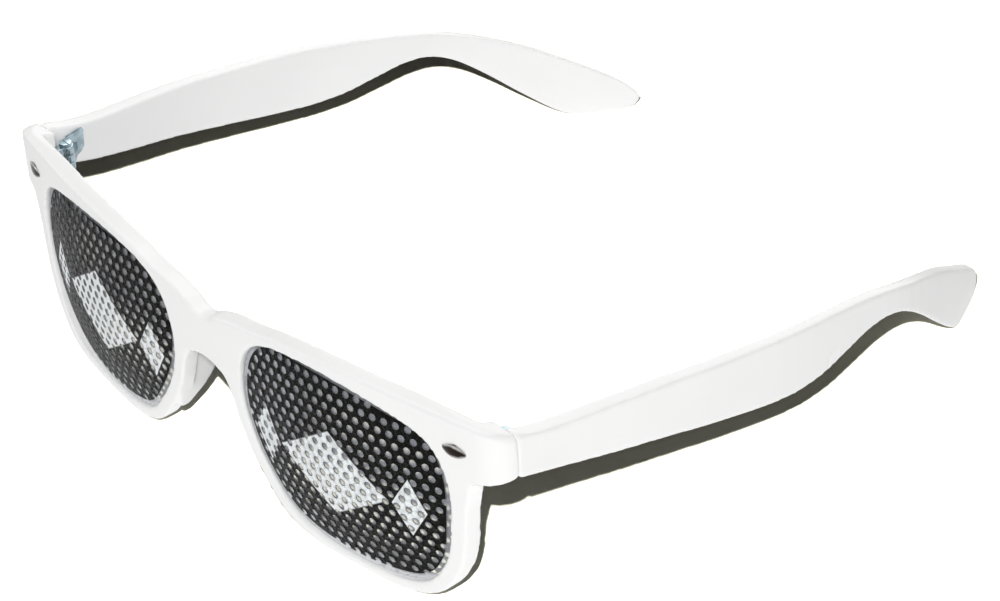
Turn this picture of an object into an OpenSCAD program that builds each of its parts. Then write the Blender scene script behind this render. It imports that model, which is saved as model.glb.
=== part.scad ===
// Novelty sunglasses: a white moulded frame that folds, tinted lenses and a perforated film on each lens.
// X runs across the face, the front looks along -Y, the temples run back along +Y and Z is up.
// The glasses stand open on the two lower rims and the two temple tips.

/* [Front] */
// Width of each end piece outside its lens opening
end_w = 10.8; // [10:0.1:13]
// Front to back depth of the rims
rim_t = 3.7; // [3.6:0.1:5]
// Radius of the front's curve, seen from above
front_r = 280; // [260:5:340]
// Least rim width above the lens
rim_top = 2.2; // [1.8:0.1:2.6]
// Rim width below the lens
rim_bottom = 2.4; // [2.2:0.1:3.6]
// Rim width at the temple side of the lens
rim_outer = 3.4; // [3.2:0.1:4.2]
// Rim width at the nose side of the lens
rim_nose = 3.2; // [2.6:0.1:3.8]
// Height of the brow line above the lens datum
brow_z = 21.6; // [21.2:0.1:23]
// Height of the bridge's upper edge at the middle
bridge_top = 15.6; // [15:0.1:18]
// Height of the arch under the bridge
bridge_low = 6.2; // [5:0.1:8]
// Radius of the outer corner, seen from above
corner_r = 6; // [4:0.1:6.2]

/* [Lenses] */
// Width of the opening for one lens
lens_w = 50.8; // [48:0.2:52]
// Height of the opening for one lens
lens_h = 39.3; // [37:0.1:40]
// Distance between the two lens openings
lens_gap = 20.8; // [19:0.2:23]
// Radius of the lens's front surface
lens_r = 90; // [84:1:100]
// Thickness of a lens
lens_t = 1.5; // [1.2:0.1:1.8]
// How far the lens edge reaches into the rim's groove
lens_lip = 0.8; // [0.5:0.1:1]
// How far the lens lies behind the rim's face at its nose side
lens_nose_set = 1.1; // [0.9:0.05:1.3]
// How far the lens lies behind the rim's face at its temple side
lens_temple_set = 1; // [0.8:0.05:1.2]
// Clearance around a lens in its groove
lens_clear = 0.04; // [0.02:0.01:0.08]

/* [Film] */
// Thickness of the perforated film
film_t = 0.2; // [0.1:0.02:0.3]
// Distance between neighbouring holes
hole_pitch = 2.45; // [2.2:0.05:3]
// Diameter of a hole
hole_d = 1.5; // [1.2:0.05:1.7]
// Gap between the film and the rim at the top
film_top = 0.4; // [0.2:0.1:2]
// Gap between the film and the rim below and at both sides
film_edge = 1.2; // [0.4:0.1:2.4]

/* [Rivets] */
// Length of a rivet's pointed oval head
rivet_l = 6; // [5:0.1:7]
// Height of the head
rivet_w = 2.4; // [1.8:0.1:3]
// How far the head stands out of the front
rivet_h = 0.5; // [0.4:0.1:1]
// Height of the rivets above the lens datum
rivet_z = 15.3; // [14.8:0.1:16]
// Distance of a rivet from the frame's outer side
rivet_in = 8.7; // [8.2:0.1:9.2]
// Diameter of the rivet's shank
shank_d = 1.8; // [1.4:0.1:2]
// Length of the shank in its hole
shank_l = 2.2; // [1.6:0.1:2.4]

/* [Hinges] */
// Depth of the end pieces, from the front's face at the rivets back to the temples
end_depth = 7.2; // [7:0.1:7.8]
// Height of the hinge's middle above the lens datum
hinge_z = 12.9; // [12.9:0.1:14]
// Outer radius of the knuckles
knuckle_r = 1.5; // [1.3:0.05:1.6]
// Height of one knuckle
knuckle_h = 1.7; // [1.5:0.1:1.75]
// Diameter of the hinge screw
screw_d = 1.4; // [1.2:0.05:1.6]
// Radial clearance between the screw and the knuckles
screw_clear = 0.05; // [0.03:0.01:0.08]
// Thickness of the hinge leaves
leaf_t = 1; // [0.8:0.1:1.2]

/* [Temples] */
// Thickness of a temple at the hinge
temple_t = 3.6; // [3.4:0.1:4.4]
// Thickness of a temple at its tip
tip_t = 2.8; // [2.6:0.1:3.4]
// Reach of the temples behind the joint
temple_l = 142; // [134:1:150]
// Height of the tips' underside below the lens datum
tip_drop = 30.6; // [29:0.1:33]
// How far the temples bow out past the hinge corners
bow = 2; // [1:0.1:3]
// How far the tips come in from the hinge corners
tip_in = 21; // [16:0.5:24]

/* [Hidden] */
$fn = 48;

white = [0.95, 0.95, 0.94];
smoke = [0.25, 0.26, 0.27, 0.6];
film_black = [0.08, 0.08, 0.08];
chrome = [0.75, 0.77, 0.8];

lens_in = lens_gap / 2;
lens_out = lens_in + lens_w;
rim_out = lens_out + rim_outer;
half_w = lens_out + end_w;

// Front face of the frame, seen from above
function face_y(x) = front_r - sqrt(front_r * front_r - x * x);

rivet_x = half_w - rivet_in;
joint_y = face_y(rivet_x) + end_depth;

// Bottom and top of the joint faces on the front and the temples, above the lens datum
joint_low = 10;
joint_high = 19.3;
// Slope of the front's top behind the corners, in degrees
shoulder = 22;
// Bevel along the outer top edge of a temple where it meets the front
top_bevel = 1.1;
// Slit between the front and a temple, and between neighbouring knuckles
slit = 0.1;

// Depth cut off the rims and tips where they stand, so that each has a small flat
foot = 0.4;

// Smooth curves through a few points
function bend(a, b, c, d, t) = 0.5 * (2 * b + (c - a) * t + (2 * a - 5 * b + 4 * c - d) * t * t
    + (3 * b - a - 3 * c + d) * t * t * t);
function loop_curve(p, n) = let (m = len(p))
    [for (i = [0:m - 1], k = [0:n - 1])
        bend(p[(i + m - 1) % m], p[i], p[(i + 1) % m], p[(i + 2) % m], k / n)];
function open_curve(p, n) = let (m = len(p) - 1)
    [for (i = [0:m - 1], k = [0:(i == m - 1 ? n : n - 1)])
        bend(p[max(i - 1, 0)], p[i], p[i + 1], p[min(i + 2, m)], k / n)];
function flip(p) = [for (i = [len(p) - 1:-1:0]) [-p[i].x, p[i].y]];
function backwards(p) = [for (i = [len(p) - 1:-1:0]) p[i]];

// Moves each point of a closed outline outwards by a distance that depends on the way its side faces
function grow(p, right, left, up, down) = let (m = len(p))
    [for (i = [0:m - 1]) let (d = p[(i + 1) % m] - p[(i + m - 1) % m], n = [d.y, -d.x] / norm(d))
        p[i] + n * ((n.x > 0 ? right : left) * n.x * n.x + (n.y > 0 ? up : down) * n.y * n.y)];

// Outline of a lens opening: fractions of its width from the nose side and of its height from the datum
lens_shape = [[0, 0.13], [0.03, -0.08], [0.12, -0.29], [0.24, -0.46], [0.43, -0.52], [0.66, -0.525],
    [0.86, -0.47], [0.965, -0.29], [1, -0.03], [0.99, 0.2], [0.91, 0.37], [0.72, 0.44], [0.43, 0.475],
    [0.17, 0.45], [0.04, 0.33]];
opening = loop_curve([for (q = lens_shape) [lens_in + q.x * lens_w, q.y * lens_h]], 6);
rim_low = -0.525 * lens_h - rim_bottom;
// Across the face, the lowest point of a rim
rim_low_x = lens_in + 0.6 * lens_w;

// Both ends of a lens's front surface at the datum, seen from above, and the centre of its sphere
nose_end = [lens_in, face_y(lens_in) + lens_nose_set];
temple_end = [lens_out, face_y(lens_out) + lens_temple_set];
chord = temple_end - nose_end;
sphere = (nose_end + temple_end) / 2
    + [-chord.y, chord.x] / norm(chord) * sqrt(lens_r * lens_r - chord * chord / 4);

// Centre of the rounded outer corner, which is tangent to the front face
corner_x = half_w - corner_r;
corner_y = front_r - sqrt(pow(front_r - corner_r, 2) - corner_x * corner_x);
tangent_x = corner_x * front_r / (front_r - corner_r);

// Hinge axis, and the height where its lowest knuckle starts
hinge_inset = 2.4;
hinge_x = half_w - temple_t - hinge_inset;
hinge_y = joint_y + 2;
knuckle_step = knuckle_h + slit;
hinge_low = hinge_z - 1.5 * knuckle_h - slit;

// The glasses lean until the rims and the tips touch the same level
end_y = joint_y + temple_l;
tip_y = joint_y + 0.945 * temple_l;
rim_y = face_y(rim_low_x);
lean = atan((rim_low + tip_drop) / (tip_y - rim_y));
stand_z = -(rim_low * cos(lean) + rim_y * sin(lean)) - foot;
back_y = end_y * cos(lean) + tip_drop * sin(lean);
stand_y = -(back_y - brow_z * sin(lean)) / 2;

// Sets what is drawn in the front's own axes on the surface below
module stand() {
    translate([0, stand_y, stand_z]) rotate([lean, 0, 0]) children();
}

// As above, with what would reach below the surface cut flat
module stand_flat() {
    room = 2 * temple_l;
    intersection() {
        stand() children();
        translate([-room / 2, -room / 2, 0]) cube(room);
    }
}

// A flat shape drawn in X and Z, from y0 to y1
module along_y(y0, y1) {
    translate([0, y1, 0]) rotate([90, 0, 0]) linear_extrude(y1 - y0) children();
}

// Half of the brow, bridge and end piece, seen from the front; the lens opening is cut later
brow_drop = brow_z - bridge_top;
brow_edge = open_curve([[0, bridge_top], [0.16 * lens_in, bridge_top + 0.05 * brow_drop],
    [0.45 * lens_in, bridge_top + 0.29 * brow_drop], [0.9 * lens_in, bridge_top + 0.5 * brow_drop],
    [lens_in + 0.1 * lens_w, brow_z - 0.37 * brow_drop], [lens_in + 0.3 * lens_w, brow_z - 0.12 * brow_drop],
    [lens_in + 0.6 * lens_w, brow_z - 0.01 * brow_drop], [lens_in + 0.9 * lens_w, brow_z - 0.01 * brow_drop],
    [half_w - 1.1 * corner_r, brow_z - 0.04 * brow_drop],
    [half_w - 0.4 * corner_r, brow_z - 0.16 * brow_drop],
    [half_w - 0.1 * corner_r, brow_z - 0.35 * brow_drop], [half_w, brow_z - 0.57 * brow_drop]], 5);
end_edge = open_curve([[half_w, joint_low + 0.2 * rim_outer], [half_w - 0.22 * rim_outer, joint_low],
    [rim_out + 0.58 * rim_outer, joint_low - 0.31 * rim_outer],
    [rim_out + 0.33 * rim_outer, joint_low - rim_outer],
    [rim_out + 0.12 * rim_outer, joint_low - 2.1 * rim_outer],
    [rim_out - 0.12 * rim_outer, joint_low - 3.4 * rim_outer]], 5);
nose_w = lens_in - rim_nose;
nose_edge = open_curve([[1.19 * nose_w, -0.48 * bridge_low], [1.03 * nose_w, 0.16 * bridge_low],
    [0.78 * nose_w, 0.68 * bridge_low], [0.39 * nose_w, 0.95 * bridge_low], [0, bridge_low]], 5);
front_half = concat(brow_edge, end_edge,
    [[lens_out - rim_outer / 2, 0], [lens_in + rim_nose / 2, -0.48 * bridge_low]], nose_edge);

module both() {
    children();
    mirror([1, 0, 0]) children();
}

module front_view() {
    difference() {
        union() {
            polygon(concat(front_half, flip([for (i = [1:len(front_half) - 2]) front_half[i]])));
            both() polygon(grow(opening, rim_outer, rim_nose, rim_top, rim_bottom));
        }
        both() polygon(opening);
    }
}

// Seen from above: the curved front and the end piece behind its rounded corner
module front_slab() {
    half = tangent_x - 0.01;
    tall = 4 * brow_z;
    intersection() {
        translate([0, front_r, -tall / 2]) difference() {
            cylinder(r = front_r, h = tall, $fn = 720);
            translate([0, 0, -1]) cylinder(r = front_r - rim_t, h = tall + 2, $fn = 720);
        }
        translate([-half, -1, -tall / 2]) cube([2 * half, 3 * joint_y, tall]);
    }
}

// The block runs back to the joint, and is blended into the slab over a short stretch
block_blend = 2.4;
module end_block() {
    inner = half_w - temple_t;
    back = face_y(inner) + rim_t;
    face = joint_y - slit;
    translate([0, 0, joint_low - 3]) linear_extrude(brow_z) {
        intersection() {
            translate([corner_x, corner_y]) circle(r = corner_r);
            translate([corner_x - 0.5, 0]) square([corner_r + 1, face]);
        }
        polygon([[tangent_x - 0.5, face_y(tangent_x - 0.5) + 0.2], [half_w, corner_y], [half_w, face],
            [inner, face], [inner, back + 0.4], [inner - block_blend, back - 0.5],
            [inner - block_blend, face_y(inner) + 1]]);
    }
}

// A lens or film: an outline cut from the shell between two depths below the lens's front surface
module lens_shell(outline, front, back) {
    intersection() {
        along_y(-corner_r, joint_y) polygon(outline);
        translate([sphere.x, sphere.y, 0]) difference() {
            sphere(r = lens_r - front, $fn = 180);
            sphere(r = lens_r - back, $fn = 180);
        }
    }
}

// A moulded nose pad behind the nose side of the rim: its thickness, how far it reaches back, its extent
// above and below its own origin, how far it leans outwards going down and turns outwards going back, in
// degrees, and its origin's place
pad_t = 2.6;
pad_reach = 9.5;
pad_up = 5;
pad_down = 16;
pad_flare = 17;
pad_turn = 7;
pad_at = [lens_in - rim_nose + 0.4, 1.6, 2.4];
pad_edge = loop_curve([[0, pad_up], [0.55 * pad_reach, 0.97 * pad_up], [0.93 * pad_reach, 0.55 * pad_up],
    [1.04 * pad_reach, -0.1 * pad_down], [1.02 * pad_reach, -0.33 * pad_down],
    [0.93 * pad_reach, -0.6 * pad_down], [0.55 * pad_reach, -0.9 * pad_down], [0, -pad_down],
    [-0.1 * pad_reach, -0.4 * pad_down]], 5);
module nose_pad() {
    translate(pad_at) rotate([0, -pad_flare, 0]) rotate([0, 0, -pad_turn])
        rotate([90, 0, 90]) linear_extrude(pad_t) polygon(pad_edge);
}

// Place of a rivet on the front's face
module at_rivet() {
    translate([rivet_x, face_y(rivet_x), rivet_z]) rotate([0, 0, asin(rivet_x / front_r)]) children();
}

// The flat pocket behind the corner that the front hinge leaf sits in: the leaf's front, sides and ends
leaf_deep = 4.6;
leaf_wide = 6.1;
leaf_y = joint_y - leaf_deep;
leaf_x0 = hinge_x + knuckle_r - leaf_wide;
leaf_x1 = hinge_x + knuckle_r;
leaf_margin = 0.4;
leaf_z0 = hinge_low - leaf_margin;
leaf_z1 = hinge_low + 3 * knuckle_step + leaf_margin;
pocket_gap = 0.05;
// Gap under a piece that lies flat on another
seat_gap = 0.02;
module front_leaf_pocket() {
    translate([leaf_x0 - pocket_gap, leaf_y, leaf_z0 - pocket_gap])
        cube([leaf_x1 - leaf_x0 + 2 * pocket_gap, joint_y, leaf_z1 - leaf_z0 + 2 * pocket_gap]);
}

module front_frame() {
    color(white) stand_flat() difference() {
        union() {
            intersection() {
                along_y(-1, joint_y) front_view();
                union() {
                    front_slab();
                    both() end_block();
                }
            }
            // The pads start behind the front face
            both() difference() {
                nose_pad();
                along_y(-corner_r, 0.25 * rim_t) square(4 * brow_z, center = true);
            }
        }
        both() {
            lens_shell(lens_outline(lens_lip + lens_clear), -lens_clear, lens_t + lens_clear);
            at_rivet() rotate([-90, 0, 0]) translate([0, 0, -1])
                cylinder(d = shank_d + 2 * pocket_gap, h = 1 + shank_l + 0.2);
            front_leaf_pocket();
        }
        // The top falls away behind the corners, down to the temples
        translate([-2 * half_w, joint_y, joint_high]) rotate([-shoulder, 0, 0])
            translate([0, -joint_y, 0]) cube([4 * half_w, 2 * joint_y, joint_y]);
    }
}

function lens_outline(lip) = grow(opening, lip, lip, lip, lip);

module lens() {
    lens_shell(lens_outline(lens_lip), 0, lens_t);
}

// True where a point lies inside a closed outline
function crossings(q, p) = [for (i = [0:len(p) - 1]) let (a = p[i], b = p[(i + 1) % len(p)])
    if ((a.y > q.y) != (b.y > q.y) && q.x < a.x + (b.x - a.x) * (q.y - a.y) / (b.y - a.y)) 1];
function inside(q, p) = len(crossings(q, p)) % 2 == 1;

film_outline = grow(opening, -film_edge, -film_edge, -film_top, -film_edge);
row_step = hole_pitch * sqrt(3) / 2;
// The rows are centred a little to the nose side of a lens's middle
hole_turn = asin((lens_in + 0.43 * lens_w - sphere.x) / lens_r);
function hole_aim(i, j) = let (e = asin(j * row_step / lens_r))
    [hole_turn + asin((i + (j % 2 == 0 ? 0 : 0.5)) * hole_pitch / lens_r / cos(e)), e];
function hole_spot(a) = [sphere.x + lens_r * sin(a.x) * cos(a.y), lens_r * sin(a.y)];

module film() {
    across = ceil(lens_w / hole_pitch / 2) + 1;
    up = ceil(lens_h / row_step / 2) + 1;
    difference() {
        lens_shell(film_outline, -film_t - lens_clear, -lens_clear);
        for (j = [-up:up], i = [-across:across + 1]) {
            aim = hole_aim(i, j);
            if (inside(hole_spot(aim), film_outline))
                translate([sphere.x, sphere.y, 0]) rotate([90 - aim.y, 0, aim.x])
                    translate([0, 0, lens_r - 1]) cylinder(d = hole_d, h = 2, $fn = 24);
        }
    }
}

module rivet() {
    // Radii of the pointed outline's sides and of the head's crown
    side_r = (rivet_l * rivet_l + rivet_w * rivet_w) / (4 * rivet_w);
    crown_r = 1.2 * rivet_l;
    at_rivet() {
        intersection() {
            along_y(-rivet_h, -seat_gap) intersection() {
                translate([0, side_r - rivet_w / 2]) circle(r = side_r, $fn = 120);
                translate([0, rivet_w / 2 - side_r]) circle(r = side_r, $fn = 120);
            }
            translate([0, crown_r - rivet_h, 0]) sphere(r = crown_r, $fn = 120);
        }
        rotate([-90, 0, 0]) translate([0, 0, -0.1]) cylinder(d = shank_d, h = shank_l);
    }
}

module knuckle(n) {
    translate([hinge_x, hinge_y, hinge_low + n * knuckle_step]) cylinder(r = knuckle_r, h = knuckle_h);
}
module screw_bore() {
    translate([hinge_x, hinge_y, hinge_low - 1])
        cylinder(d = screw_d + 2 * screw_clear, h = 3 * knuckle_step + 2);
}

module front_hinge() {
    web = 1.8;
    difference() {
        union() {
            translate([leaf_x0, leaf_y + seat_gap, leaf_z0])
                cube([leaf_x1 - leaf_x0, leaf_t, leaf_z1 - leaf_z0]);
            for (n = [0, 2]) {
                knuckle(n);
                translate([hinge_x - web / 2, leaf_y + 0.5 * leaf_t, hinge_low + n * knuckle_step])
                    cube([web, hinge_y - leaf_y - 0.5 * leaf_t, knuckle_h]);
            }
        }
        screw_bore();
    }
}

// The temple leaf lies in a shallow pocket of the temple's inner face, and stands out of it a little
plate_x = half_w - temple_t - 0.5;
plate_y0 = hinge_y + knuckle_r + 2 * slit;
plate_long = 4;
plate_out = [for (q = [[0, 0.06], [0.3, -0.1], [0.46, 0.13], [0.7, 0.2], [0.93, 0.36], [1, 1], [0, 0.93]])
    [plate_y0 + q.x * plate_long, leaf_z0 + q.y * (leaf_z1 - leaf_z0)]];
module plate_shape(x0, x1) {
    translate([x0, 0, 0]) rotate([90, 0, 90]) linear_extrude(x1 - x0) polygon(plate_out);
}

module temple_hinge() {
    difference() {
        union() {
            plate_shape(plate_x, plate_x + leaf_t);
            knuckle(1);
            translate([0, 0, hinge_low + knuckle_step]) linear_extrude(knuckle_h)
                polygon([[hinge_x - 0.6, hinge_y + 1.2], [hinge_x + 1.3, hinge_y + 0.2],
                    [plate_x + 0.5 * leaf_t, plate_y0 + 0.2], [plate_x + 0.5 * leaf_t, plate_y0 + 2.4],
                    [plate_x - 0.2, plate_y0 + 2]]);
        }
        screw_bore();
    }
}

module hinge_screw() {
    head_d = screw_d + 1.1;
    head_h = 0.7;
    slot = 0.3;
    top = hinge_low + 3 * knuckle_step - slit + seat_gap;
    translate([hinge_x, hinge_y, 0]) difference() {
        union() {
            translate([0, 0, hinge_low - 0.2]) cylinder(d = screw_d, h = top - hinge_low + 0.3);
            translate([0, 0, top]) cylinder(d = head_d, h = head_h);
        }
        translate([-head_d, -slot / 2, top + head_h - slot]) cube([2 * head_d, slot, head_h]);
    }
}

// Side view of a temple's upper and lower edges, and its outer face seen from above. Each point has a share
// of the temple's reach, and then a share of its height or of its bow or inward turn
temple_h = joint_high + tip_drop;
function edge_curve(p) = open_curve([for (q = p) [joint_y + q.x * temple_l, -tip_drop + q.y * temple_h]], 4);
temple_top = edge_curve([[0, 1], [0.035, 0.963], [0.085, 0.934], [0.155, 0.91], [0.24, 0.878],
    [0.33, 0.834], [0.43, 0.784], [0.535, 0.725], [0.62, 0.667], [0.69, 0.606], [0.76, 0.524],
    [0.83, 0.422], [0.887, 0.317], [0.944, 0.206], [0.978, 0.125], [0.993, 0.06], [0.984, 0.013]]);
temple_low = concat(edge_curve([[0.962, 0], [0.923, 0.002], [0.88, 0.045], [0.824, 0.18],
    [0.768, 0.329], [0.718, 0.445], [0.673, 0.507], [0.627, 0.521], [0.57, 0.501], [0.521, 0.485],
    [0.465, 0.493], [0.401, 0.528], [0.324, 0.581], [0.218, 0.658], [0.141, 0.707], [0.07, 0.757]]),
    [[joint_y, joint_low]]);
temple_side = open_curve(concat(
    [for (q = [[0, 0], [0.085, 0.15], [0.21, 0.75], [0.34, 1], [0.465, 0.75]])
        [half_w + q.y * bow, joint_y + q.x * temple_l]],
    [for (q = [[0.605, 0.05], [0.718, 0.17], [0.83, 0.44], [0.901, 0.64], [0.965, 0.86], [1, 1]])
        [half_w - q.y * tip_in, joint_y + q.x * temple_l]]), 4);
function thick(y) = temple_t + (tip_t - temple_t) * min(1, max(0, (y - joint_y) / temple_l / 0.42 - 0.17));
temple_inner = [for (q = backwards(temple_side)) [q.x - thick(q.y), q.y]];

module temple() {
    difference() {
        intersection() {
            translate([0, 0, -temple_l / 2]) linear_extrude(temple_l)
                polygon(concat(temple_side, temple_inner));
            rotate([90, 0, 90]) linear_extrude(2 * half_w) polygon(concat(temple_top, temple_low));
        }
        plate_shape(plate_x - temple_t, plate_x + leaf_t + seat_gap);
        // The bevel, which fades out as the top edge falls
        translate([half_w, joint_y - 1, joint_high - top_bevel]) rotate([0, -45, 0])
            translate([0, 0, -temple_h]) cube([temple_h, temple_h, 2 * temple_h]);
    }
}

module left_lens() { color(smoke) stand() lens(); }
module right_lens() { color(smoke) stand() mirror([1, 0, 0]) lens(); }
module left_film() { color(film_black) stand() film(); }
module right_film() { color(film_black) stand() mirror([1, 0, 0]) film(); }
module left_rivet() { color(chrome) stand() rivet(); }
module right_rivet() { color(chrome) stand() mirror([1, 0, 0]) rivet(); }
module left_front_hinge() { color(chrome) stand() front_hinge(); }
module right_front_hinge() { color(chrome) stand() mirror([1, 0, 0]) front_hinge(); }
module left_hinge_screw() { color(chrome) stand() hinge_screw(); }
module right_hinge_screw() { color(chrome) stand() mirror([1, 0, 0]) hinge_screw(); }
module left_temple_hinge() { color(chrome) stand() temple_hinge(); }
module right_temple_hinge() { color(chrome) stand() mirror([1, 0, 0]) temple_hinge(); }
module left_temple() { color(white) stand_flat() temple(); }
module right_temple() { color(white) stand_flat() mirror([1, 0, 0]) temple(); }

front_frame();
left_lens();
right_lens();
left_film();
right_film();
left_rivet();
right_rivet();
left_front_hinge();
right_front_hinge();
left_hinge_screw();
right_hinge_screw();
left_temple_hinge();
right_temple_hinge();
left_temple();
right_temple();
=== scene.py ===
"""Looks of folding sunglasses with a white moulded frame, tinted lenses and perforated black films.

Lengths are in metres.
"""
import math

import bpy
from mathutils import Matrix, Vector


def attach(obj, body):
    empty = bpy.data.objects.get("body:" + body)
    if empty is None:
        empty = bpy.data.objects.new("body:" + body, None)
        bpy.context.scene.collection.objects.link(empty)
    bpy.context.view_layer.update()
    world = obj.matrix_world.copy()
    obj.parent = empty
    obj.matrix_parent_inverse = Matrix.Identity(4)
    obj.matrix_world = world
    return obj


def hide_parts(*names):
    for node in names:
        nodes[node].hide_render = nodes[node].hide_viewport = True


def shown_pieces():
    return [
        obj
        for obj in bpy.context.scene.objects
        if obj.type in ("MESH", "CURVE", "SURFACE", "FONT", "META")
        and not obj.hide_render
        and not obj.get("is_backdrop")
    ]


MM = 0.001

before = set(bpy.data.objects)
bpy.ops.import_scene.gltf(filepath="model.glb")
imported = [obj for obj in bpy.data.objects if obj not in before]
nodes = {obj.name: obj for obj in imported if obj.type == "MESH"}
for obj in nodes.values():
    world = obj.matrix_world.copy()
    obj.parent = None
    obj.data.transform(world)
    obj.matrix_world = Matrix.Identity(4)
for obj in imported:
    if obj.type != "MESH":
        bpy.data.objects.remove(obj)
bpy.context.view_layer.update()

SIDES = ("left", "right")

# Camera, where the photographer stood
CAMERA_AT = Vector((0.40815, -0.35826, 0.36316))
CAMERA_AZIMUTH = 49.242
CAMERA_ELEVATION = 33.298
CAMERA_ROLL = 0.776
CAMERA_LENS = 116.16
SENSOR_WIDTH = 36
CLIP_START = 0.01
CLIP_END = 20

# Points of a solid that lie this close are one point
MERGE_DISTANCE = 0.002 * MM
# Mouldings are covered with a skin of this mesh width, which is then smoothed
SKIN_MESH = 0.3 * MM
SKIN_PASSES = 16
# Edges sharper than this stay sharp in the shading, and on metal they get a small chamfer
SHARP_ANGLE = math.radians(30)
RIVET_CHAMFER = 0.12 * MM
HINGE_CHAMFER = 0.08 * MM


class Wire:
    """An output socket of a material's nodes. Arithmetic on wires adds Math nodes."""

    def __init__(self, graph, socket):
        self.graph = graph
        self.socket = socket

    def math(self, operation, *values):
        sockets = dict(enumerate(values))
        return self.graph.node("ShaderNodeMath", {"operation": operation}, sockets)

    def __add__(self, other):
        return self.math("ADD", self, other)

    def __sub__(self, other):
        return self.math("SUBTRACT", self, other)

    def __rsub__(self, other):
        return self.math("SUBTRACT", other, self)

    def __mul__(self, other):
        return self.math("MULTIPLY", self, other)

    def __truediv__(self, other):
        return self.math("DIVIDE", self, other)

    def __abs__(self):
        return self.math("ABSOLUTE", self)

    __radd__ = __add__
    __rmul__ = __mul__

    def root(self):
        return self.math("SQRT", self)

    def least(self, other):
        return self.math("MINIMUM", self, other)

    def most(self, other):
        return self.math("MAXIMUM", self, other)

    def step_up(self, low, high):
        """0 below low, 1 above high and smooth between them."""
        return self.graph.node(
            "ShaderNodeMapRange",
            {"interpolation_type": "SMOOTHSTEP"},
            {"Value": self, "From Min": low, "From Max": high},
        )


class Graph:
    """The nodes of one material, lamp or world, written as expressions."""

    def __init__(self, owner):
        owner.use_nodes = True
        self.tree = owner.node_tree
        self.tree.nodes.clear()

    def node(self, kind, settings=None, sockets=None, out=0):
        """Adds a node: its settings first, then the values or wires of its sockets."""
        made = self.tree.nodes.new(kind)
        for name, value in (settings or {}).items():
            setattr(made, name, value)
        for name, value in (sockets or {}).items():
            if isinstance(value, Wire):
                self.tree.links.new(value.socket, made.inputs[name])
            else:
                made.inputs[name].default_value = value
        return Wire(self, made.outputs[out]) if made.outputs else None

    def place(self):
        """The point that is shaded, in the object's own coordinates."""
        return self.node("ShaderNodeTexCoord", out="Object")

    def split(self, point):
        """A point's X, Y and Z."""
        return [self.node("ShaderNodeSeparateXYZ", {}, {0: point}, out=n) for n in range(3)]

    def noise(self, point, size, detail=2.0):
        """Smooth noise from 0 to 1 whose blobs are about size across."""
        return self.node("ShaderNodeTexNoise", {}, {"Vector": point, "Scale": 1 / size, "Detail": detail})

    def mix_colour(self, factor, first, second):
        """The first colour where factor is 0 and the second where it is 1."""
        return self.node(
            "ShaderNodeMix", {"data_type": "RGBA"}, {0: factor, 6: first, 7: second}, out=2
        )

    def bump(self, height, distance, strength):
        return self.node(
            "ShaderNodeBump", {}, {"Height": height, "Distance": distance, "Strength": strength}
        )

    def ray(self, kind):
        """1 for rays of this kind and 0 for others."""
        return self.node("ShaderNodeLightPath", out=kind)


def grey(level):
    return (level, level, level, 1)


def finished(graph, material, sockets):
    """Closes a material with the Principled shader whose sockets are given."""
    shader = graph.node("ShaderNodeBsdfPrincipled", {}, sockets)
    graph.node("ShaderNodeOutputMaterial", {}, {"Surface": shader})
    return material


# White plastic: its two whites, and the sizes of its clouds, of the mould's waves and of its fine skin
PLASTIC_WHITES = ((0.91, 0.912, 0.905, 1), (0.93, 0.93, 0.924, 1))
PLASTIC_CLOUD = 22 * MM
MOULD_WAVE = 7 * MM
MOULD_SKIN = 0.5 * MM
WAVE_DEPTH = 0.05 * MM


def moulded_white():
    """White injection-moulded plastic: glossy, with faint waves and a fine skin from the mould."""
    material = bpy.data.materials.new("moulded_white")
    graph = Graph(material)
    point = graph.place()
    cloud = graph.noise(point, PLASTIC_CLOUD)
    wave = graph.noise(point, MOULD_WAVE, 1.0)
    skin = graph.noise(point, MOULD_SKIN, 1.0)
    height = wave + 0.04 * skin
    return finished(graph, material, {
        "Base Color": graph.mix_colour(cloud.step_up(0.3, 0.7), *PLASTIC_WHITES),
        "Roughness": 0.2 + 0.1 * cloud,
        "IOR": 1.49,
        "Normal": graph.bump(height, WAVE_DEPTH, 0.6),
    })


# Tint of the lenses at the floor and, darker with painted shade, at the brow, the brow's height and the
# size of the haze
LENS_TINTS_AND_PAINTED_SHADE = ((0.52, 0.545, 0.61, 1), (0.42, 0.44, 0.5, 1))
BROW_HEIGHT = 45 * MM
LENS_HAZE = 9 * MM


def tinted_lens():
    """Clear plastic with an even grey tint, with painted shade that makes it a little darker and less clear
    towards the brow.
    """
    material = bpy.data.materials.new("tinted_lens")
    graph = Graph(material)
    point = graph.place()
    height = graph.split(point)[2]
    haze = graph.noise(point, LENS_HAZE)
    # Painted shade: the lens darkens and grows less clear towards the brow
    shade = height.step_up(0, BROW_HEIGHT)
    return finished(graph, material, {
        "Base Color": graph.mix_colour(shade, *LENS_TINTS_AND_PAINTED_SHADE),
        "Roughness": 0.04 + 0.03 * haze,
        "IOR": 1.5,
        "Alpha": 0.26 + 0.12 * shade,
    })


# Figure printed on each film, its middle to the side and up: a broad diamond between two slim ones
PRINT_MIDDLE = (35.5 * MM, 21 * MM)
# Each diamond's place to the side of that middle, half its width and half its height
DIAMONDS = (
    (0, 13.5 * MM, 9.5 * MM),
    (-17.5 * MM, 3.6 * MM, 6.5 * MM),
    (17.5 * MM, 3.6 * MM, 6.5 * MM),
)
PRINT_EDGE = 0.05
# Sphere of the films' faces: its middle, to the side, back and up, and its radius
FILM_MIDDLE = (24.888 * MM, 11.646 * MM, 27.122 * MM)
FILM_RADIUS = 90.24 * MM
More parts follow.
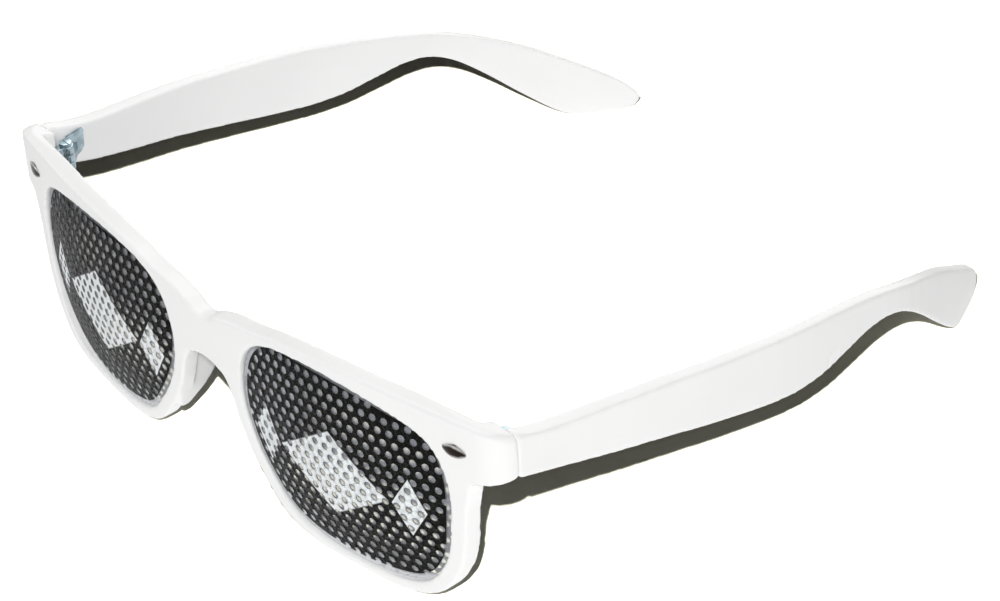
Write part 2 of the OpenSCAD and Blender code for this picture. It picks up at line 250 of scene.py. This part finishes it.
# Depths below the face between which the print ends and, further in, the black back begins
PRINT_DEPTH = (0.02 * MM, 0.04 * MM)
BACK_DEPTH = (0.15 * MM, 0.17 * MM)
# Grey painted on the holes' walls as shade, between the print and the black back
FILM_WALL_PAINTED_SHADE = grey(0.2)
FILM_INKS = ((0.86, 0.9, 0.92, 1), (0.9, 0.93, 0.94, 1))
FILM_BLACKS = ((0.0025, 0.0025, 0.002, 1), (0.005, 0.005, 0.0045, 1))
FILM_GRAIN = 0.35 * MM
FILM_CLOUD = 12 * MM
INK_HEIGHT = 0.01 * MM


def printed_film():
    """Perforated black film with a white figure on its face, whose holes' walls are painted grey as shade.
    """
    material = bpy.data.materials.new("printed_film")
    graph = Graph(material)
    point = graph.place()
    x, y, z = graph.split(point)
    across = abs(x) - PRINT_MIDDLE[0]
    up = z - PRINT_MIDDLE[1]
    inside = None
    for middle, half_wide, half_high in DIAMONDS:
        reach = abs(across - middle) / half_wide + abs(up) / half_high
        inside = reach if inside is None else inside.least(reach)
    beside = abs(x) - FILM_MIDDLE[0]
    behind = y - FILM_MIDDLE[1]
    above = z - FILM_MIDDLE[2]
    depth = FILM_RADIUS - (beside * beside + behind * behind + above * above).root()
    back = depth.step_up(*BACK_DEPTH)
    # The holes' walls between the print and the black back, which take the grey of painted shade
    painted_shade_wall = depth.step_up(*PRINT_DEPTH) - back
    bare = inside.step_up(1 - PRINT_EDGE, 1).most(back)
    grain = graph.noise(point, FILM_GRAIN)
    cloud = graph.noise(point, FILM_CLOUD)
    ink = graph.mix_colour(cloud, *FILM_INKS)
    vinyl = graph.mix_colour(cloud, *FILM_BLACKS)
    return finished(graph, material, {
        "Base Color": graph.mix_colour(painted_shade_wall, graph.mix_colour(bare, ink, vinyl), FILM_WALL_PAINTED_SHADE),
        "Roughness": 0.26 + 0.1 * cloud + 0.06 * grain,
        "IOR": 1.45,
        "Specular IOR Level": 0.06,
        "Normal": graph.bump(grain + 2 * (1 - bare), INK_HEIGHT, 0.5),
    })


# Middle of a rivet's head, to the side and up, and half its length and height
RIVET_MIDDLE = (63.3 * MM, 38.1 * MM)
RIVET_HALF = (3 * MM, 1.2 * MM)
# Colour of the painted dark reflection in the middle of each rivet's head
RIVET_PAINTED_REFLECTION = (0.02, 0.014, 0.012, 1)
RIVET_NICKELS = ((0.34, 0.33, 0.32, 1), (0.6, 0.59, 0.57, 1))
RIVET_CLOUD = 0.9 * MM
RIVET_SCRATCH = 0.12 * MM
RIVET_SCRATCH_DEPTH = 0.004 * MM


def rivet_with_painted_reflection():
    """Nickel rivet whose head has a painted reflection, dark in the middle and fading to bright nickel
    along its edge.
    """
    material = bpy.data.materials.new("rivet_polish")
    graph = Graph(material)
    point = graph.place()
    x, _, z = graph.split(point)
    along = (abs(x) - RIVET_MIDDLE[0]) / RIVET_HALF[0]
    across = abs(z - RIVET_MIDDLE[1]) / RIVET_HALF[1]
    cloud = graph.noise(point, RIVET_CLOUD)
    scratch = graph.noise(point, RIVET_SCRATCH, 3.0)
    edge = along * along + across + 0.3 * (cloud - 0.5)
    # 0 in the painted dark reflection in the middle of the head, 1 along its edge where the nickel shows
    clear_of_painted_reflection = edge.step_up(0.55, 1.05)
    nickel = graph.mix_colour(cloud, *RIVET_NICKELS)
    return finished(graph, material, {
        "Base Color": graph.mix_colour(clear_of_painted_reflection, RIVET_PAINTED_REFLECTION, nickel),
        "Metallic": 1.0,
        "Roughness": 0.12 + 0.12 * scratch + 0.08 * clear_of_painted_reflection,
        "Normal": graph.bump(scratch, RIVET_SCRATCH_DEPTH, 0.4),
    })


# Plating of the hinges, dark and bright, whose hair scratches are stretched sideways
PLATINGS = ((0.3, 0.372, 0.408, 1), (0.5, 0.62, 0.68, 1))
PLATING_CLOUD = 2.5 * MM
PLATING_SCRATCH = 1.6 * MM
PLATING_STRETCH = 14
PLATING_SCRATCH_DEPTH = 0.008 * MM


def hinge_plating():
    """Bluish plated metal with hair scratches and a cloudy polish."""
    material = bpy.data.materials.new("hinge_plating")
    graph = Graph(material)
    point = graph.place()
    cloud = graph.noise(point, PLATING_CLOUD)
    stretched = graph.node(
        "ShaderNodeMapping", {}, {"Vector": point, "Scale": (1, 1, PLATING_STRETCH)}
    )
    scratch = graph.noise(stretched, PLATING_SCRATCH, 4.0)
    return finished(graph, material, {
        "Base Color": graph.mix_colour(cloud.step_up(0.35, 0.7), *PLATINGS),
        "Metallic": 1.0,
        "Roughness": 0.2 + 0.1 * scratch,
        "Normal": graph.bump(scratch, PLATING_SCRATCH_DEPTH, 0.4),
    })


def only(made):
    """Makes one object the only selected and active one."""
    bpy.ops.object.select_all(action="DESELECT")
    made.select_set(True)
    bpy.context.view_layer.objects.active = made


def merged_copy(node, name):
    """A copy of a node's solid under a new name, with its doubled points merged."""
    made = bpy.data.objects.new(name, nodes[node].data.copy())
    bpy.context.scene.collection.objects.link(made)
    made.data.materials.clear()
    only(made)
    bpy.ops.object.mode_set(mode="EDIT")
    bpy.ops.mesh.select_all(action="SELECT")
    bpy.ops.mesh.remove_doubles(threshold=MERGE_DISTANCE)
    bpy.ops.object.mode_set(mode="OBJECT")
    return made


def apply_modifier(made, name, kind, **settings):
    modifier = made.modifiers.new(name, kind)
    for key, value in settings.items():
        setattr(modifier, key, value)
    only(made)
    bpy.ops.object.modifier_apply(modifier=name)


def rounded_moulding(node, name):
    """The solid with all its edges rounded, as plastic leaves a polished mould."""
    made = merged_copy(node, name)
    apply_modifier(made, "skin", "REMESH", mode="VOXEL", voxel_size=SKIN_MESH, adaptivity=0)
    apply_modifier(made, "tumbling", "SMOOTH", factor=0.5, iterations=SKIN_PASSES)
    only(made)
    bpy.ops.object.shade_smooth()
    return made


def trimmed(node, name, chamfer=0):
    """The solid with its sharp edges kept, or broken by a small chamfer."""
    made = merged_copy(node, name)
    if chamfer:
        apply_modifier(
            made, "broken_edges", "BEVEL", width=chamfer, segments=2,
            limit_method="ANGLE", angle_limit=SHARP_ANGLE,
        )
    only(made)
    bpy.ops.object.shade_smooth_by_angle(angle=SHARP_ANGLE)
    return made


def wear(made, node, body, material):
    """Puts a piece in the place of its node, on its body, in its material."""
    made.data.materials.append(material)
    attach(made, body)
    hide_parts(node)


def dress_glasses():
    white = moulded_white()
    smoke = tinted_lens()
    film = printed_film()
    rivet_metal = rivet_with_painted_reflection()
    hinge_metal = hinge_plating()
    front = rounded_moulding("front_frame", "front_moulding")
    wear(front, "front_frame", "front", white)
    for side in SIDES:
        arm = f"{side}_arm"
        temple = rounded_moulding(f"{side}_temple", f"{side}_temple_moulding")
        wear(temple, f"{side}_temple", arm, white)
        lens = trimmed(f"{side}_lens", f"{side}_tinted_lens")
        wear(lens, f"{side}_lens", "front", smoke)
        sheet = trimmed(f"{side}_film", f"{side}_printed_film")
        wear(sheet, f"{side}_film", "front", film)
        rivet = trimmed(f"{side}_rivet", f"{side}_oval_rivet", RIVET_CHAMFER)
        wear(rivet, f"{side}_rivet", "front", rivet_metal)
        for node, body in (("front_hinge", "front"), ("hinge_screw", "front"), ("temple_hinge", arm)):
            metal = trimmed(f"{side}_{node}", f"{side}_{node}_plated", HINGE_CHAMFER)
            wear(metal, f"{side}_{node}", body, hinge_metal)


def look_along(azimuth, elevation, roll=0):
    """Rotation of a camera or lamp that looks along this direction; azimuth 0 looks along +Y."""
    a, e = math.radians(azimuth), math.radians(elevation)
    ahead = Vector((-math.sin(a) * math.cos(e), math.cos(a) * math.cos(e), -math.sin(e)))
    right = Vector((math.cos(a), math.sin(a), 0))
    up = right.cross(ahead)
    turn = Matrix((right, up, -ahead)).transposed()
    return turn @ Matrix.Rotation(-math.radians(roll), 3, "Z")


def place_camera():
    data = bpy.data.cameras.new("camera")
    data.lens = CAMERA_LENS
    data.sensor_width = SENSOR_WIDTH
    data.clip_start = CLIP_START
    data.clip_end = CLIP_END
    made = bpy.data.objects.new("camera", data)
    made.matrix_world = look_along(CAMERA_AZIMUTH, CAMERA_ELEVATION, CAMERA_ROLL).to_4x4()
    made.location = CAMERA_AT
    bpy.context.scene.collection.objects.link(made)
    bpy.context.scene.camera = made


# The floor's paint for the eye, which looks warm in the shade, and for mirrors and the light it throws back
FLOOR_SEEN = (0.84, 0.82, 0.67, 1)
FLOOR_BOUNCE = grey(0.45)
FLOOR_SIZE = 8
# Distances from the glasses between which the floor fades into the white backdrop
FADE = (0.27, 0.45)
BACKDROP = grey(1.0)


def lay_floor():
    bpy.ops.object.select_all(action="DESELECT")
    bpy.ops.mesh.primitive_plane_add(size=FLOOR_SIZE, location=(0, 0, 0))
    floor = bpy.context.active_object
    floor.name = "floor"
    material = bpy.data.materials.new("white_floor")
    graph = Graph(material)
    seen = graph.ray("Is Camera Ray")
    paint = graph.mix_colour(seen, FLOOR_BOUNCE, FLOOR_SEEN)
    painted = graph.node("ShaderNodeBsdfDiffuse", {}, {"Color": paint})
    backdrop = graph.node("ShaderNodeEmission", {}, {"Color": BACKDROP, "Strength": 1.0})
    away = graph.node(
        "ShaderNodeVectorMath", {"operation": "LENGTH"}, {0: graph.place()}, out="Value"
    )
    fade = seen * away.step_up(*FADE)
    shader = graph.node("ShaderNodeMixShader", {}, {0: fade, 1: painted, 2: backdrop})
    graph.node("ShaderNodeOutputMaterial", {}, {"Surface": shader})
    floor.data.materials.append(material)
    floor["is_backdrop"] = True
    return floor


# Level of the room's own light, beside which the lamps do nearly all the work
ROOM = grey(0.008)


def light_room():
    """A dim room that the camera, mirrors and lenses see as a white backdrop."""
    world = bpy.context.scene.world or bpy.data.worlds.new("room")
    bpy.context.scene.world = world
    graph = Graph(world)
    seen = graph.ray("Is Camera Ray")
    mirrored = graph.ray("Is Glossy Ray")
    passed = graph.ray("Is Transmission Ray")
    shade = graph.mix_colour(seen.most(mirrored).most(passed), ROOM, BACKDROP)
    sky = graph.node("ShaderNodeBackground", {}, {"Color": shade, "Strength": 1.0})
    graph.node("ShaderNodeOutputWorld", {}, {"Surface": sky})


# Flash beside the camera, its level on white that faces it and what the floor gets on top of that
FLASH_AT = Vector((0.36795, -0.34781, 0.38602))
FLASH_RADIUS = 4 * MM
FLASH_LEVEL = 0.55
FLOOR_FLASH_LEVEL = 2.9
# Softboxes that light the glasses alone: where each one looks along, azimuth and elevation, and its level
SOFTBOXES = (
    ("softbox_above", 230, 72, 0.35),
    ("softbox_rear", 215, 25, 0.2),
    ("softbox_side", 310, 25, 0.2),
    ("softbox_arm", 95, 15, 0.12),
)
SOFTBOX_AWAY = 0.9
SOFTBOX_SIZE = 0.7


def hang_flash(name, level, receivers=None):
    """A small lamp whose light doesn't fall off, so that the whole floor is lit alike."""
    data = bpy.data.lights.new(name, "POINT")
    data.shadow_soft_size = FLASH_RADIUS
    data.energy = 4 * math.pi * math.pi * level
    graph = Graph(data)
    even = graph.node("ShaderNodeLightFalloff", {}, {"Strength": 1.0}, out="Constant")
    glow = graph.node("ShaderNodeEmission", {}, {"Strength": even})
    graph.node("ShaderNodeOutputLight", {}, {"Surface": glow})
    lamp = bpy.data.objects.new(name, data)
    lamp.location = FLASH_AT
    lamp.visible_glossy = False
    bpy.context.scene.collection.objects.link(lamp)
    if receivers:
        lamp.light_linking.receiver_collection = receivers


def hang_softbox(name, azimuth, elevation, level, receivers):
    """A broad soft lamp whose power is its level times the sphere round the glasses that it hangs on."""
    data = bpy.data.lights.new(name, "AREA")
    data.shape = "SQUARE"
    data.size = SOFTBOX_SIZE
    data.energy = level * 4 * math.pi * SOFTBOX_AWAY * SOFTBOX_AWAY
    lamp = bpy.data.objects.new(name, data)
    turn = look_along(azimuth, elevation)
    lamp.matrix_world = turn.to_4x4()
    lamp.location = turn @ Vector((0, 0, SOFTBOX_AWAY))
    bpy.context.scene.collection.objects.link(lamp)
    lamp.light_linking.receiver_collection = receivers


def lit_group(name, members):
    """A collection of the objects that one lamp lights."""
    made = bpy.data.collections.new(name)
    for member in members:
        made.objects.link(member)
    return made


def light_scene(floor):
    hang_flash("flash", FLASH_LEVEL)
    hang_flash("floor_flash", FLOOR_FLASH_LEVEL, lit_group("floor_alone", [floor]))
    glasses = lit_group("glasses_alone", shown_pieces())
    for name, azimuth, elevation, level in SOFTBOXES:
        hang_softbox(name, azimuth, elevation, level, glasses)


dress_glasses()
place_camera()
light_room()
light_scene(lay_floor())
bpy.context.scene.view_settings.view_transform = "Standard"
